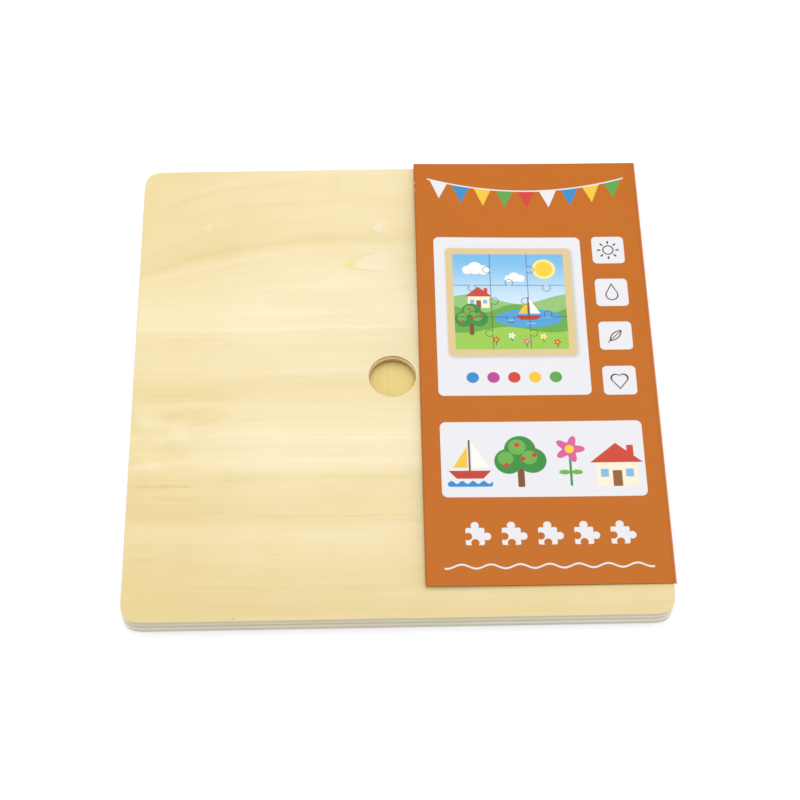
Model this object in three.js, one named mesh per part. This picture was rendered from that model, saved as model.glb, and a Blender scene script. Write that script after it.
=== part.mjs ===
// Inlay puzzle lying on its face: a plywood tray, nine jigsaw tiles and a folded packaging card.
// Millimetres, +Z up. The origin is the middle of the board, on the surface that the tiles lie on.
import * as THREE from "three";

// Board: a backing sheet glued on a frame of the same outline
const BOARD_SIDE = 225;
const BOARD_CORNER_RADIUS = 8.4;
const BACKING_THICKNESS = 4.5;
const FRAME_THICKNESS = 4.9;
const FRAME_BORDER = 12;
const EDGE_EASE = 0.4;
const FINGER_HOLE_DIAMETER = 20.2;
const FINGER_HOLE_X = -0.45;
const FINGER_HOLE_Y = 0.95;

// Tiles: a name for each row and column, their gaps and their knobs
const TILE_ROWS = ["near", "middle", "far"];
const TILE_COLUMNS = ["left", "centre", "right"];
const TILE_CORNER_RADIUS = 1.2;
const BACK_CLEARANCE = 0.6;
const RIM_CLEARANCE = 0.5;
const SAW_KERF = 0.6;
const KNOB_RADIUS = 7;
const KNOB_RISE = 8;
const NECK_FILLET = 3;

// Card: a panel on the back, a spine down the right edge and a flap under the frame
const CARD_THICKNESS = 0.5;
const CARD_PANEL_WIDTH = 102.4;
const CARD_LENGTH = 212.7;
const CARD_OVERHANG = 0.9;
const CARD_FLAP_WIDTH = 9;
const CARD_FOLD_RADIUS = 0.9;
const CARD_CLEARANCE = 0.2;
const CARD_SPINE_GAP = 0.6;
const CARD_LIFT = 2.8;
const CARD_END_SETBACK = 7;

// Fineness of the round stretches
const ARC_STEP = Math.PI / 9;
const FINGER_HOLE_STEPS = 48;
const CARD_LIFT_STEPS = 8;

// Sizes that follow
const boardHalf = BOARD_SIDE / 2;
const openingHalf = boardHalf - FRAME_BORDER;
const tileWidth = (2 * openingHalf) / TILE_COLUMNS.length;
const tileDepth = (2 * openingHalf) / TILE_ROWS.length;
const frameBottom = CARD_THICKNESS;
const backingBottom = frameBottom + FRAME_THICKNESS;
const boardTop = backingBottom + BACKING_THICKNESS;
const tileThickness = backingBottom - BACK_CLEARANCE;

const bareWood = new THREE.MeshStandardMaterial({ color: 0xf4e0ae, roughness: 0.62, metalness: 0 });
const tileWood = new THREE.MeshStandardMaterial({ color: 0xebd393, roughness: 0.6, metalness: 0 });
const printedCard = new THREE.MeshStandardMaterial({ color: 0xcb7636, roughness: 0.45, metalness: 0 });

// Points along a circle's arc, both ends included, turning from one angle to the other
function arcPoints(centreX, centreY, radius, from, to, step = ARC_STEP) {
  const count = Math.max(1, Math.round(Math.abs(to - from) / step));
  return Array.from({ length: count + 1 }, (_, index) => {
    const angle = from + ((to - from) * index) / count;
    return new THREE.Vector2(centreX + radius * Math.cos(angle), centreY + radius * Math.sin(angle));
  });
}

// Square outline with round corners, centred on the origin
function roundedSquare(half, radius) {
  const inset = half - radius;
  return [0, 1, 2, 3].flatMap((corner) => {
    const start = (corner * Math.PI) / 2;
    const middle = start + Math.PI / 4;
    const centreX = inset * Math.sign(Math.cos(middle));
    const centreY = inset * Math.sign(Math.sin(middle));
    return arcPoints(centreX, centreY, radius, start, start + Math.PI / 2);
  });
}

// Flat sheet with its lower face at z = 0 and every edge eased by a small chamfer
function easedSheet(outline, holes, thickness) {
  const shape = new THREE.Shape(outline);
  shape.holes = holes.map((hole) => new THREE.Path(hole));
  const geometry = new THREE.ExtrudeGeometry(shape, {
    depth: thickness - 2 * EDGE_EASE,
    bevelThickness: EDGE_EASE,
    bevelSize: EDGE_EASE,
    bevelOffset: -EDGE_EASE,
    bevelSegments: 1,
  });
  return geometry.translate(0, 0, EDGE_EASE);
}

function namedMesh(name, geometry, material, z = 0) {
  const mesh = new THREE.Mesh(geometry, material);
  mesh.name = name;
  mesh.position.z = z;
  return mesh;
}

function backingBoard() {
  const outline = roundedSquare(boardHalf, BOARD_CORNER_RADIUS);
  const holeStep = (2 * Math.PI) / FINGER_HOLE_STEPS;
  const holeRadius = FINGER_HOLE_DIAMETER / 2;
  const circle = arcPoints(FINGER_HOLE_X, FINGER_HOLE_Y, holeRadius, 0, 2 * Math.PI, holeStep);
  const sheet = easedSheet(outline, [circle.slice(0, -1)], BACKING_THICKNESS);
  return namedMesh("backing_board", sheet, bareWood, backingBottom);
}

function frame() {
  const outline = roundedSquare(boardHalf, BOARD_CORNER_RADIUS);
  const opening = roundedSquare(openingHalf, TILE_CORNER_RADIUS + RIM_CLEARANCE);
  return namedMesh("frame", easedSheet(outline, [opening], FRAME_THICKNESS), bareWood, frameBottom);
}

// The four sides of a tile, in the order near, right, far, left. Each gives its inset from the grid line
// and its bulge: -1 for a knob that stands out, +1 for a socket that goes in, 0 at the frame.
// Tiles alternate like a chessboard: one kind has its knobs near and far, the other left and right
function tileSides(row, column) {
  const kind = (row + column) % 2 === 0 ? 1 : -1;
  const seam = (bulge) => ({ inset: SAW_KERF / 2, bulge });
  const rim = { inset: RIM_CLEARANCE, bulge: 0 };
  return [
    row > 0 ? seam(-kind) : rim,
    column < TILE_COLUMNS.length - 1 ? seam(kind) : rim,
    row < TILE_ROWS.length - 1 ? seam(-kind) : rim,
    column > 0 ? seam(kind) : rim,
  ];
}

// One knob or socket in the side's own frame, x along the side and y into the tile: a neck fillet,
// the round head and the other fillet, each tangent to the next and set back by half the saw kerf
function knobOutline({ inset, bulge }) {
  const reach = KNOB_RADIUS + NECK_FILLET;
  const climb = KNOB_RISE - NECK_FILLET;
  const spread = Math.sqrt(reach * reach - climb * climb);
  const tangent = Math.atan2(climb, spread);
  const fillet = NECK_FILLET - bulge * inset;
  const head = KNOB_RADIUS + bulge * inset;
  const quarter = Math.PI / 2;
  const half = Math.PI;
  const points = [
    ...arcPoints(-spread, NECK_FILLET, fillet, -quarter, tangent),
    ...arcPoints(0, KNOB_RISE, head, half + tangent, -tangent).slice(1, -1),
    ...arcPoints(spread, NECK_FILLET, fillet, half - tangent, half + quarter),
  ];
  return points.map((point) => new THREE.Vector2(point.x, bulge * point.y));
}

// A tile's outline, counter-clockwise round its own middle
function tileOutline(row, column) {
  const sides = tileSides(row, column);
  const centre = new THREE.Vector2(0, 0);
  return sides.flatMap((side, index) => {
    const turn = (index * Math.PI) / 2;
    const next = sides[(index + 1) % sides.length];
    const along = index % 2 === 0 ? tileWidth / 2 : tileDepth / 2;
    const away = index % 2 === 0 ? tileDepth / 2 : tileWidth / 2;
    const knob = side.bulge === 0 ? [] : knobOutline(side);
    const cornerX = along - next.inset - TILE_CORNER_RADIUS;
    const cornerY = side.inset + TILE_CORNER_RADIUS;
    const corner = arcPoints(cornerX, cornerY, TILE_CORNER_RADIUS, -Math.PI / 2, 0);
    const path = [...knob, ...corner];
    return path.map((point) => new THREE.Vector2(point.x, point.y - away).rotateAround(centre, turn));
  });
}

function tile(row, column) {
  const name = `tile_${TILE_ROWS[row]}_${TILE_COLUMNS[column]}`;
  const mesh = namedMesh(name, easedSheet(tileOutline(row, column), [], tileThickness), tileWood);
  mesh.position.x = (column + 0.5) * tileWidth - openingHalf;
  mesh.position.y = (row + 0.5) * tileDepth - openingHalf;
  return mesh;
}

// The card's section across the fold, x to the right and y up, drawn counter-clockwise
function cardSection() {
  const outside = boardHalf + CARD_SPINE_GAP + CARD_THICKNESS;
  const top = boardTop + CARD_CLEARANCE + CARD_THICKNESS;
  const foldX = outside - CARD_FOLD_RADIUS;
  const insideRadius = CARD_FOLD_RADIUS - CARD_THICKNESS;
  const run = CARD_PANEL_WIDTH - CARD_FOLD_RADIUS;
  const quarter = Math.PI / 2;
  const panel = Array.from({ length: CARD_LIFT_STEPS }, (_, index) => {
    const share = (index + 1) / CARD_LIFT_STEPS;
    return new THREE.Vector2(foldX - run * share, top + CARD_LIFT * share * share);
  });
  const underside = panel.map((point) => new THREE.Vector2(point.x, point.y - CARD_THICKNESS)).reverse();
  const flapEnd = outside - CARD_FLAP_WIDTH;
  return new THREE.Shape([
    new THREE.Vector2(flapEnd, 0),
    ...arcPoints(foldX, CARD_FOLD_RADIUS, CARD_FOLD_RADIUS, -quarter, 0),
    ...arcPoints(foldX, top - CARD_FOLD_RADIUS, CARD_FOLD_RADIUS, 0, quarter),
    ...panel,
    ...underside,
    ...arcPoints(foldX, top - CARD_FOLD_RADIUS, insideRadius, quarter, 0),
    ...arcPoints(foldX, CARD_FOLD_RADIUS, insideRadius, 0, -quarter),
    new THREE.Vector2(flapEnd, CARD_THICKNESS),
  ]);
}

// Slants both ends of the spine and the flap: the setback grows from nothing at the upper fold to all of it
// at the flap's outside
function slantEnds(geometry) {
  const foldHeight = boardTop + CARD_CLEARANCE + CARD_THICKNESS - CARD_FOLD_RADIUS;
  const position = geometry.getAttribute("position");
  for (let index = 0; index < position.count; index += 1) {
    const share = Math.max(0, 1 - position.getZ(index) / foldHeight);
    const y = position.getY(index);
    const inwards = y < -CARD_LENGTH / 2 ? 1 : -1;
    position.setY(index, y + inwards * share * CARD_END_SETBACK);
  }
  return geometry;
}

function cardSleeve() {
  const strip = new THREE.ExtrudeGeometry(cardSection(), { depth: CARD_LENGTH, bevelEnabled: false });
  const mesh = namedMesh("card_sleeve", slantEnds(strip.rotateX(Math.PI / 2)), printedCard);
  mesh.position.y = boardHalf + CARD_OVERHANG;
  return mesh;
}

const board = new THREE.Group();
board.add(backingBoard(), frame());

const tiles = new THREE.Group();
TILE_ROWS.forEach((_, row) => TILE_COLUMNS.forEach((__, column) => tiles.add(tile(row, column))));

const puzzle = new THREE.Group();
puzzle.add(board, tiles, cardSleeve());

export default puzzle;
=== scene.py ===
"""Looks of a wooden inlay puzzle lying on its face, with its folded card, around its CAD frame."""

import math
from functools import partial, reduce
from operator import add

import bpy
import numpy as np
from bpy.props import FloatProperty, FloatVectorProperty, PointerProperty
from mathutils import Matrix, Vector


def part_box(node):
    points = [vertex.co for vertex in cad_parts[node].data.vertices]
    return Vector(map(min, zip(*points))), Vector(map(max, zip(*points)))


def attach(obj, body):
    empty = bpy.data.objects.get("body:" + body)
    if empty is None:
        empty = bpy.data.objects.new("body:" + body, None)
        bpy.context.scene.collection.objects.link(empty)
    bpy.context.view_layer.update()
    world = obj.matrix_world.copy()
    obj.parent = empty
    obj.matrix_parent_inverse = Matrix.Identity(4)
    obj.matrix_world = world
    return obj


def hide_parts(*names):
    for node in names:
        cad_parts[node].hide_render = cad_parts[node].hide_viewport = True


bl_info = {
    "name": "Inlay puzzle",
    "version": (1, 0, 0),
    "blender": (4, 5, 0),
    "location": "View3D > Sidebar > Puzzle",
    "description": "Builds the board, the jigsaw tiles and the folded card of a wooden inlay puzzle",
    "category": "Object",
}

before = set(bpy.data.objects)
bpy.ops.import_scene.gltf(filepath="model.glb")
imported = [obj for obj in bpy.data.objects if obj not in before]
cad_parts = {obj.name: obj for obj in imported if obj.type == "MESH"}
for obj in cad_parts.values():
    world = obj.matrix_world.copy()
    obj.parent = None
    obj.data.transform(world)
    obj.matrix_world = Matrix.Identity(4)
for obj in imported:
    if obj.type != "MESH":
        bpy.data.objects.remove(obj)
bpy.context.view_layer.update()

# Lengths are in metres, and shader patterns are drawn in millimetres
MM = 0.001

# The board's corners are superellipses, softer than the solid's arcs: how far each reaches, and its power
CORNER_REACH = 12 * MM
CORNER_POWER = 3.5
# Sizes of the solids that their boxes don't tell
FINGER_HOLE_RADIUS = 10.1 * MM
FINGER_HOLE_MIDDLE = (-0.45 * MM, 0.95 * MM)
FRAME_BORDER = 12 * MM
RIM_CLEARANCE = 0.5 * MM
SAW_KERF = 0.6 * MM
TILE_CORNER = 1.2 * MM
KNOB_RADIUS = 7 * MM
KNOB_RISE = 8 * MM
NECK_FILLET = 3 * MM
CARD_THICKNESS = 0.5 * MM
CARD_CLEARANCE = 0.2 * MM
CARD_FOLD_RADIUS = 0.9 * MM
CARD_FLAP_WIDTH = 9 * MM
CARD_END_SETBACK = 7 * MM
# How much of the sheets' rounding the finger hole's rims have
HOLE_RIM_SHARE = 0.3
# Waves of the card's free edge: share of the length from its near end, spread and height
CARD_WAVES = ((0.75, 0.17, 1.4 * MM), (0.19, 0.1, 0.6 * MM))

# Places read from the frame
BACK_LOW, BACK_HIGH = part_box("backing_board")
FRAME_LOW, FRAME_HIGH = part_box("frame")
CARD_LOW, CARD_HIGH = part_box("card_sleeve")
TILE_LOW, TILE_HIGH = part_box("tile_middle_centre")
BOARD_HALF = BACK_HIGH.x
OPENING_HALF = BOARD_HALF - FRAME_BORDER
TILE_ROWS = ("near", "middle", "far")
TILE_COLUMNS = ("left", "centre", "right")
TILE_PITCH = 2 * OPENING_HALF / len(TILE_ROWS)

# Fineness of the meshes
CORNER_STEPS = 16
STRAIGHT_STEPS = 24
ROUNDING_STEPS = 5
KNOB_STEP = math.radians(6)
SHARP_ANGLE = math.radians(40)
CARD_ACROSS = 32
CARD_ALONG = 48

# Material slots of a sheet of plywood
EDGE_FACES = 0
UPPER_FACES = 1
LOWER_FACES = 2
HOLE_FACES = 3

# Material slots of the card
PRINTED_FACES = 0
PLAIN_FACES = 1
INSIDE_FACES = 2
CUT_FACES = 3

QUARTER_TURN = np.array([[0.0, 1.0], [-1.0, 0.0]])


def paint(red, green, blue):
    """A screen colour, each part from 0 to 255, as Blender's linear colour, through the sRGB curve."""
    parts = np.array([red, green, blue]) / 255
    linear = np.where(parts <= 0.04045, parts / 12.92, ((parts + 0.055) / 1.055) ** 2.4)
    return tuple(float(part) for part in linear)


def colour_setting(name, description, screen_colour):
    """A colour that a user may change, given as a screen colour."""
    return FloatVectorProperty(
        name=name,
        description=description,
        subtype="COLOR",
        size=3,
        min=0,
        max=1,
        default=paint(*screen_colour),
    )


def length_setting(name, description, default):
    """A length that a user may change, in metres."""
    return FloatProperty(name=name, description=description, default=default, min=0, unit="LENGTH")


class WoodLooks(bpy.types.PropertyGroup):
    """Finish of the plywood sheets."""

    rounding: length_setting("Edge rounding", "Radius of the sanded edges", 0.4 * MM)
    pale: colour_setting("Pale wood", "Lightest bands of the back veneer", (254, 241, 206))
    dark: colour_setting("Dark wood", "Darkest bands of the back veneer", (234, 212, 154))
    yellow: colour_setting("Yellow wood", "Tint towards the board's left side", (246, 226, 148))
    flame: colour_setting("Flame", "Pale tails behind the pips in the veneer", (253, 240, 218))
    pip: colour_setting("Pip", "Small yellow pips in the veneer", (242, 228, 142))
    pip_rim: colour_setting("Pip rim", "Olive lines along the flames", (226, 213, 150))
    core: colour_setting("Core ply", "Inner plies on the edges", (248, 240, 214))
    face_ply: colour_setting("Face ply", "Outer plies next to the faces", (238, 223, 188))
    grey_ply: colour_setting("Grey ply", "Outer plies next to the glue", (222, 213, 188))
    # Painted light: the frame's lowest ply is greyer and bluer than the others, for the white floor's
    # bounce light
    floor_lit_ply: colour_setting("Lowest ply", "Outer ply next to the tray's face", (225, 220, 205))
    # Painted light: the core ply turns to this paler colour towards the board's right, where more light
    # falls
    painted_light_core: colour_setting("Core ply, painted light", "Core ply at the right of the board", (255, 251, 232))
    hole_upper: colour_setting("Hole, upper ply", "Pale ply on the finger hole's wall", (250, 236, 198))
    # Painted shade: the hole's lower ply is darker and warmer than the board's other plies, for shade and
    # warm reflected light deep in the hole
    hole_shaded_ply: colour_setting("Hole, lower ply", "Ply darkened as painted shade on the finger hole's wall", (217, 184, 112))
    # Dark lines at the ends of the hole's wall: at its foot painted shade in the joint with the tiles, at
    # its rim a dark line
    hole_shade_and_rim: colour_setting("Hole rim", "Dark lines, the lower one painted shade, at the ends of the hole's wall", (84, 54, 14))
    joint: colour_setting("Glue line", "Dark lines between the plies", (150, 132, 100))
    tile_pale: colour_setting("Pale tile back", "Lighter bands on the backs of the tiles", (250, 231, 162))
    tile_dark: colour_setting("Dark tile back", "Darker bands on the backs of the tiles", (237, 213, 132))


class CardLooks(bpy.types.PropertyGroup):
    """Shape and print of the packaging card."""

    lift_near: length_setting("Lift, near end", "Rise of the free edge at its near end", 1.0 * MM)
    lift_far: length_setting("Lift, far end", "Rise of the free edge at its far end", 1.5 * MM)
    corner: length_setting("Corner radius", "Worn radius of the panel's free corners", 0.8 * MM)
    ground: colour_setting("Ground", "Orange ground of the print", (195, 107, 21))
    # The cut faces' own colour, darkened as painted shade on them; it also colours the painted shade by the
    # free edge, and the rubbed fold
    cut: colour_setting("Cut edge", "Cut edges of the card, darker than its print", (128, 72, 24))
    white: colour_setting("White", "Panels and marks of the print", (235, 235, 239))
    inside: colour_setting("Inside", "Unprinted inside of the card", (226, 222, 212))


class StageLooks(bpy.types.PropertyGroup):
    """Camera and light."""

    azimuth: FloatProperty(name="Azimuth", description="Camera's turn about Z, in degrees", default=-1.36)
    elevation: FloatProperty(name="Elevation", description="Camera's height, in degrees", default=60.04)
    roll: FloatProperty(name="Roll", description="Turn about its own axis, in degrees", default=0.25)
    distance: length_setting("Distance", "From the camera to its target", 802.4 * MM)
    lens: FloatProperty(name="Lens", description="Focal length for a 36 mm sensor, in mm", default=84.04)
    sky: FloatProperty(name="Sky", description="Light from above, where 1 is white", default=0.54)
    ground: FloatProperty(name="Ground", description="Light from below, where 1 is white", default=0.4)
    sides: FloatProperty(name="Sides", description="Extra light from the left and the right", default=1.6)
    key: FloatProperty(name="Key", description="Power of the soft lamp, in watts", default=6.6)
    floor: colour_setting("Floor", "How strongly the floor takes light and shadow", (244, 246, 254))
    glow: FloatProperty(name="Floor glow", description="What the floor adds to its own white", default=0.28)


class Shade:
    """One socket of a material's nodes: arithmetic adds Math nodes, and node() adds any other node."""

    def __init__(self, tree, socket=None):
        self.tree = tree
        self.socket = socket

    def node(self, kind, settings=None, sockets=None, output=0):
        """Adds a node: its settings are set first, then the values or links of its sockets."""
        made = self.tree.nodes.new(kind)
        for name, value in (settings or {}).items():
            if name == "stops":
                made.color_ramp.interpolation = "EASE"
                # A new ramp already has a stop at each end
                for place, _ in value[1:-1]:
                    made.color_ramp.elements.new(place)
                for element, (place, tone) in zip(made.color_ramp.elements, value, strict=True):
                    element.position = place
                    element.color = (tone, tone, tone, 1)
            else:
                setattr(made, name, value)
        for name, value in (sockets or {}).items():
            if isinstance(value, Shade):
                self.tree.links.new(value.socket, made.inputs[name])
            elif isinstance(value, tuple) and len(made.inputs[name].default_value) == 4:
                made.inputs[name].default_value = (*value, 1)
            else:
                made.inputs[name].default_value = value
        return Shade(self.tree, made.outputs[output])

    def math(self, operation, *values, clamp=False):
        """A Math node on this value and others, kept between 0 and 1 if asked."""
        settings = {"operation": operation, "use_clamp": clamp}
        return self.node("ShaderNodeMath", settings, dict(enumerate((self, *values))))

    def vector(self, operation, *values, output=0):
        """A Vector Math node on this vector and others: its output 0 is a vector, and 1 is a value."""
        settings = {"operation": operation}
        return self.node("ShaderNodeVectorMath", settings, dict(enumerate((self, *values))), output)

    def mix(self, under, over):
        """A colour: under where this mask is 0, over where it is 1."""
        sockets = {0: self, 6: under, 7: over}
        return self.node("ShaderNodeMix", {"data_type": "RGBA"}, sockets, 2)

    def limit(self, low, high):
        """This value, kept between two limits."""
        return self.math("MINIMUM", high).math("MAXIMUM", low)

    def length(self):
        """The length of this vector."""
        return self.vector("LENGTH", output=1)

    def scaled(self, factor):
        """This vector times a number."""
        sockets = {0: self, "Scale": factor}
        return self.node("ShaderNodeVectorMath", {"operation": "SCALE"}, sockets)

    def parts(self):
        """The X, Y and Z of a vector."""
        split = self.node("ShaderNodeSeparateXYZ", None, {0: self}).socket.node
        return [Shade(self.tree, output) for output in split.outputs]

    def __add__(self, other):
        return self.math("ADD", other)

    __radd__ = __add__

    def __sub__(self, other):
        return self.math("SUBTRACT", other)

    def __rsub__(self, other):
        return self.math("MULTIPLY_ADD", -1.0, other)

    def __mul__(self, other):
        return self.math("MULTIPLY", other)

    __rmul__ = __mul__

    def __truediv__(self, other):
        return self.math("DIVIDE", other)

    def __neg__(self):
        return self.math("MULTIPLY", -1.0)

    def __abs__(self):
        return self.math("ABSOLUTE")


def joined(x, y, z=0.0):
    """A vector from two or three values, the first of them a Shade."""
    return x.node("ShaderNodeCombineXYZ", None, {0: x, 1: y, 2: z})


# How strong each finer layer of the noise is, as a share of the one before
NOISE_ROUGHNESS = 0.55


def noise(place, stretch, shift=0.0, detail=2.0):
    """Cloudy noise from -0.5 to 0.5: stretch is the number of clouds in a millimetre along X, Y and Z."""
    moved = place.vector("MULTIPLY_ADD", stretch, (shift, shift, shift))
    sockets = {"Vector": moved, "Scale": 1.0, "Detail": detail, "Roughness": NOISE_ROUGHNESS}
    return moved.node("ShaderNodeTexNoise", None, sockets) - 0.5


def ramp(value, low, high):
    """A smooth step: 0 where value is low and 1 where it is high."""
    settings = {"interpolation_type": "SMOOTHSTEP"}
    return value.node("ShaderNodeMapRange", settings, {0: value, 1: low, 2: high, 3: 0.0, 4: 1.0})


def within(distance, soft):
    """A mask: 1 where a signed distance is below zero, with an edge that is soft wide."""
    return distance.math("MULTIPLY_ADD", -1 / soft, 0.5, clamp=True)


def hump(value, middle, half_width):
    """A bell curve: 1 at the middle, falling off over half_width."""
    away = (value - middle) / half_width
    return (away * away * -1.0).math("EXPONENT")


def spot(x, y, middle_x, middle_y, half_x, half_y):
    """A soft mark: a bell curve along X times a bell curve along Y."""
    return hump(x, middle_x, half_x) * hump(y, middle_y, half_y)


def greatest(shades):
    """The greatest of several values: masks joined, or the farthest of several distances."""
    return reduce(lambda one, other: one.math("MAXIMUM", other), shades)


def weighed(shades, shares):
    """The sum of several values, each times its share."""
    return reduce(add, [shade * share for shade, share in zip(shades, shares, strict=True)])


class Print:
    """Shapes of a flat print, as masks over a place on the sheet. Edges are soft wide."""

    def __init__(self, place, soft):
        self.place = place
        self.soft = soft
        self.x, self.y, _ = place.parts()

    def moved(self, x, y, scale=1.0):
        """The same print with its origin at (x, y) and its unit scale long."""
        shifted = self.place.vector("MULTIPLY_ADD", (1 / scale,) * 3, (-x / scale, -y / scale, 0))
        return Print(shifted, self.soft / scale)

    def distance(self, x, y):
        """Distance from a point of the sheet."""
        return self.place.vector("DISTANCE", (x, y, 0), output=1)

    def disc(self, x, y, radius):
        """Distance from the middle, less the radius."""
        return within(self.distance(x, y) - radius, self.soft)

    def ring(self, x, y, radius, half_width):
        """Distance from a circle, less half the ring's width."""
        return within(abs(self.distance(x, y) - radius) - half_width, self.soft)

    def ellipse(self, x, y, half_x, half_y):
        """Distance from the middle, measured in radii and scaled by the lesser radius."""
        local = self.place.vector("SUBTRACT", (x, y, 0)).vector("DIVIDE", (half_x, half_y, 1))
        return within((local.length() - 1) * min(half_x, half_y), self.soft)

    def slab_distance(self, x, y, half_x, half_y, corner):
        """Distance to a rectangle with round corners: that to an inner rectangle, less the radius."""
        past = self.place.vector("SUBTRACT", (x, y, 0)).vector("ABSOLUTE")
        past = past.vector("SUBTRACT", (half_x - corner, half_y - corner, 0)).vector("MAXIMUM", (0, 0, 0))
        return past.length() - corner

    def slab(self, x, y, half_x, half_y, corner):
        """A rectangle with round corners."""
        return within(self.slab_distance(x, y, half_x, half_y, corner), self.soft)

    def polygon(self, *corners):
        """A convex shape, its corners counter-clockwise: the farthest of the distances past its sides."""
        sides = []
        for (x0, y0), (x1, y1) in zip(corners, corners[1:] + corners[:1], strict=True):
            length = math.hypot(x1 - x0, y1 - y0)
            normal = ((y1 - y0) / length, (x0 - x1) / length, 0)
            offset = normal[0] * x0 + normal[1] * y0
            sides.append(self.place.vector("DOT_PRODUCT", normal, output=1) - offset)
        return within(greatest(sides), self.soft)

    def below(self, level, wave=0.0, pitch=1.0, phase=0.0):
        """Everything below a wavy line: level + wave sin(2 pi x / pitch + phase)."""
        angle = self.x.math("MULTIPLY_ADD", math.tau / pitch, phase)
        return within(self.y - (angle.math("SINE") * wave + level), self.soft)


def new_material(name):
    """A material with a Principled shader, and its object coordinates in millimetres."""
    material = bpy.data.materials.new(name)
    material.use_nodes = True
    tree = material.node_tree
    shader = tree.nodes["Principled BSDF"]
    place = Shade(tree).node("ShaderNodeTexCoord", output="Object").scaled(1 / MM)
    return material, shader, place


# How much the dry wood and card shine
SPECULAR = 0.2


def finish_material(material, shader, colour, roughness, height=None, depth=0.0):
    """Links a colour, a roughness and an optional bump whose height is depth millimetres where it is 1."""
    tree = material.node_tree
    tree.links.new(colour.socket, shader.inputs["Base Color"])
    if isinstance(roughness, Shade):
        tree.links.new(roughness.socket, shader.inputs["Roughness"])
    else:
        shader.inputs["Roughness"].default_value = roughness
    shader.inputs["Specular IOR Level"].default_value = SPECULAR
    if height is not None:
        sockets = {"Strength": 1.0, "Distance": depth * MM, "Height": height}
        bump = height.node("ShaderNodeBump", None, sockets)
        tree.links.new(bump.socket, shader.inputs["Normal"])
    return material


# Bands of tone across the back: places along the grain coordinate in mm, and tones from dark 0 to pale 1.
# The tone is darkest towards the near edge
VENEER_BANDS = (
    (-112, 0.0),
    (-100, 0.0),
    (-86, 0.2),
    (-74, 0.42),
    (-66, 0.25),
    (-52, 0.22),
    (-40, 0.72),
    (-26, 0.8),
    (-14, 0.55),
    (-4, 0.3),
    (8, 0.62),
    (24, 0.7),
    (27, 0.9),
    (44, 0.78),
    (54, 0.72),
    (58, 0.27),
    (70, 0.35),
    (92, 0.45),
    (112, 0.4),
)
# The curved grain line, in mm: where it starts along X, how far it climbs and over what run
CATHEDRAL_X = -105
CATHEDRAL_RISE = 17
CATHEDRAL_RUN = 25
# Where along Y the grain starts to bend and where it bends most, and the line's grain coordinate
CATHEDRAL_LOW = 32
CATHEDRAL_HIGH = 80
CATHEDRAL_LINE = 54.5
# Thin streaks in the grain: place along the grain coordinate, ends along X, half width, and strength
VENEER_STREAKS = (
    (53.2, -112, -60, 0.25, 0.25),
    (68.5, -110, -84, 0.2, 0.3),
    (80.0, -60, -34, 0.2, 0.3),
    (26.0, -112, 12, 1.0, 0.18),
    (20.5, -104, -70, 0.4, -0.25),
    (-8.0, -108, -66, 2.2, -0.16),
    (-21.0, -70, 12, 0.3, 0.2),
    (-29.0, -56, 12, 0.4, 0.25),
    (-34.5, -62, 12, 0.3, 0.2),
    (-48.5, -112, 12, 0.3, -0.25),
    (-51.3, -111, -85, 0.6, -0.4),
    (-57.0, -110, -82, 0.5, -0.4),
    (-63.5, -94, -70, 0.6, -0.5),
    (-65.5, -60, 8, 0.3, -0.25),
    (-85.0, -109, -88, 0.6, -0.45),
)
# How far past its left and its right end a streak goes from none to all, and how soft its sides are, in mm
STREAK_START = (-3, 5)
STREAK_STOP = (3, -8)
STREAK_SOFT = 0.7
# Noise below the first level breaks a streak, and above the second leaves it whole
STREAK_BREAKS = (-0.2, 0.1)
# Pips with a pale flame behind them: place, radius and flame length, in mm
VENEER_PIPS = ((-84.0, 81.0, 1.3, 4.0), (-18.0, 59.5, 2.3, 23.0), (-8.5, 79.5, 0.5, 7.0))
# Soft marks: place, half sizes, strength and colour
SMUDGE = paint(150, 132, 100)
FLECK = paint(146, 92, 66)
OLIVE = paint(222, 193, 110)
VENEER_MARKS = (
    (-24.5, 104.0, 3.0, 5.0, 0.05, SMUDGE),
    (-106.0, -50.9, 3.4, 1.2, 0.4, OLIVE),
    (-97.0, -51.1, 3.2, 1.2, 0.45, OLIVE),
    (-88.5, -51.0, 3.4, 1.0, 0.32, OLIVE),
    (-66.4, -111.4, 0.45, 0.35, 0.5, FLECK),
)
# What bands, slow patches and three widths of fibre add to the back veneer's tone, and the tone's limits
BAND_SHARE = 0.75
BAND_BASE = 0.14
PATCH_SHARE = 0.35
BACK_FIBRES = (0.45, 0.32, 0.2)
BACK_TONES = (-0.4, 1.05)
# The same for the plain veneers
PLAIN_FIBRES = (1.1, 0.6, 0.3)
PLAIN_TONES = (-0.3, 1.2)
# How far the grain wavers, in mm
BACK_WAVER = 5
PLAIN_WAVER = 12
# Spans in mm, from none to all of a change: towards the left side, its far corner and its yellow strip
LEFT_SPAN = (-30, -112)
CORNER_SPAN = (60, 95)
YELLOW_SPAN = (-62, -108)
# How much darker the left side and its far corner are
LEFT_SHADE = 0.16
CORNER_SHADE = 0.12
# Shade beside the curved line, and how far it reaches below and above it, in mm
LINE_SHADE = 0.18
LINE_BELOW = 12
LINE_ABOVE = 9
# Yellow tint: in the strip at the left, and in patches
YELLOW_LEFT = 0.12
YELLOW_PATCHES = 0.5
# Curly tongue at the left side: its middle and half sizes in mm, and how dark it is
CURL_MIDDLE = (-82, -18)
CURL_HALF = (17, 5)
CURL_SHADE = 0.19
# Its ragged edge, in half sizes: how far out it is, what noise adds, and how soft it is
CURL_EDGE = 0.9
CURL_RAGGED = 1.6
CURL_SOFT = 0.3
# Mottling below it: its middle and its spans from none to all along Y and X in mm, its bias and strength
MOTTLE_Y = -30
MOTTLE_REACH = (20, 8)
MOTTLE_SPAN = (-70, -100)
MOTTLE_BIAS = 0.08
MOTTLE_SHADE = 1.4
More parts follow.
